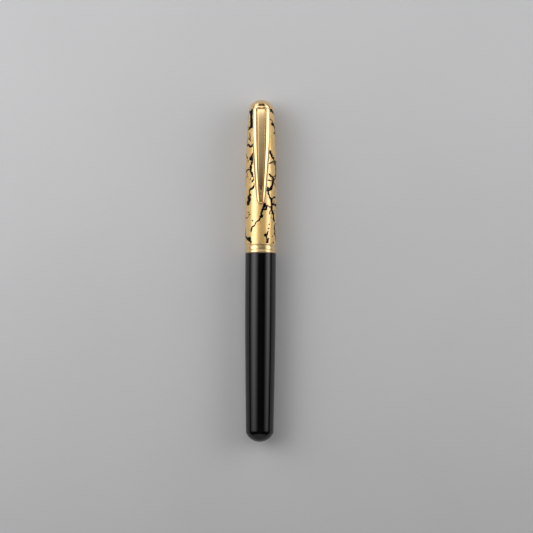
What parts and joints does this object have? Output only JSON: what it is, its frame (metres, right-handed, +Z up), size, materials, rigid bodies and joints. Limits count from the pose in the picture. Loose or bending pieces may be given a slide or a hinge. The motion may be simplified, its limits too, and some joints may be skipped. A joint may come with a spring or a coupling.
{
  "type": "rollerball pen",
  "caption": "Capped rollerball pen: black lacquered barrel, gold crackle-leaf cap with polished trim and a grooved sprung clip, threaded grip section, spring-seated refill.",
  "frame": {"origin": "on the table under the middle of the pen, which lies on its side with its clip up and its axis 6.27 mm above the table", "axes": "+Y along the pen towards the cap's domed end, +Z up through the clip, +X to the right of a person who looks along +Y"},
  "size_m": [0.0126, 0.136, 0.014],
  "materials": {
    "black_lacquer": "gloss",
    "gold_leaf": "crackled leaf under clear lacquer",
    "gold_plate": "polished gold plate",
    "brass": "machined",
    "black_resin": "gloss",
    "white_resin": "moulded",
    "steel": "satin",
    "ball_steel": "polished",
    "ink_fibre": "felted",
    "seal_rubber": "matte"
  },
  "bodies": {
    "barrel": {"barrel": "black_lacquer", "barrel_bushing": "brass", "spring_seat": "white_resin", "refill_spring": "steel"},
    "collar": {"section_collar": "gold_plate"},
    "section": {"section_tenon": "brass", "grip_section": "black_resin", "nose_cone": "gold_plate"},
    "refill": {"refill_tube": "steel", "refill_plug": "white_resin", "ink_reservoir": "ink_fibre", "ink_wick": "ink_fibre", "feed_housing": "black_resin", "refill_point": "steel"},
    "ball": {"writing_ball": "ball_steel"},
    "seal": {"tip_seal": "seal_rubber"},
    "cap": {"inner_cap": "black_resin", "cap_sleeve": "gold_leaf", "cap_band": "gold_plate", "cap_screw": "steel", "finial": "gold_plate", "clip_ring": "gold_plate"},
    "clip": {"clip_arm": "gold_plate"}
  },
  "joints": [
    {"name": "section_unscrew", "type": "hinge", "parent": "collar", "child": "section", "pos_m": [0, 0.0079, 0.00627], "axis": [0, 1, 0], "range_deg": [0, 2885]},
    {"name": "section_travel", "type": "slide", "parent": "barrel", "child": "collar", "axis": [0, 1, 0], "range_m": [0, 0.006]},
    {"name": "refill_press", "type": "slide", "parent": "section", "child": "refill", "axis": [0, -1, 0], "range_m": [0, 0.0012], "stiffness_N_per_m": 800, "springref_m": -0.002, "deforming": ["refill_spring"]},
    {"name": "ball_roll", "type": "hinge", "parent": "refill", "child": "ball", "pos_m": [0, 0.05015, 0.00627], "axis": [1, 0, 0], "continuous": true},
    {"name": "cap_pull", "type": "slide", "parent": "section", "child": "seal", "axis": [0, 1, 0], "range_m": [0, 0.05]},
    {"name": "cap_spin", "type": "hinge", "parent": "seal", "child": "cap", "pos_m": [0, 0.051, 0.00627], "axis": [0, 1, 0], "continuous": true},
    {"name": "clip_lift", "type": "hinge", "parent": "cap", "child": "clip", "pos_m": [0, 0.0637, 0.01127], "axis": [-1, 0, 0], "range_deg": [0, 4], "stiffness_Nm_per_rad": 1.5, "springref_deg": -1.72}
  ],
  "couplings": [
    {"joint": "section_unscrew", "follows": "section_travel", "rad_per_m": 8377.6}
  ]
}
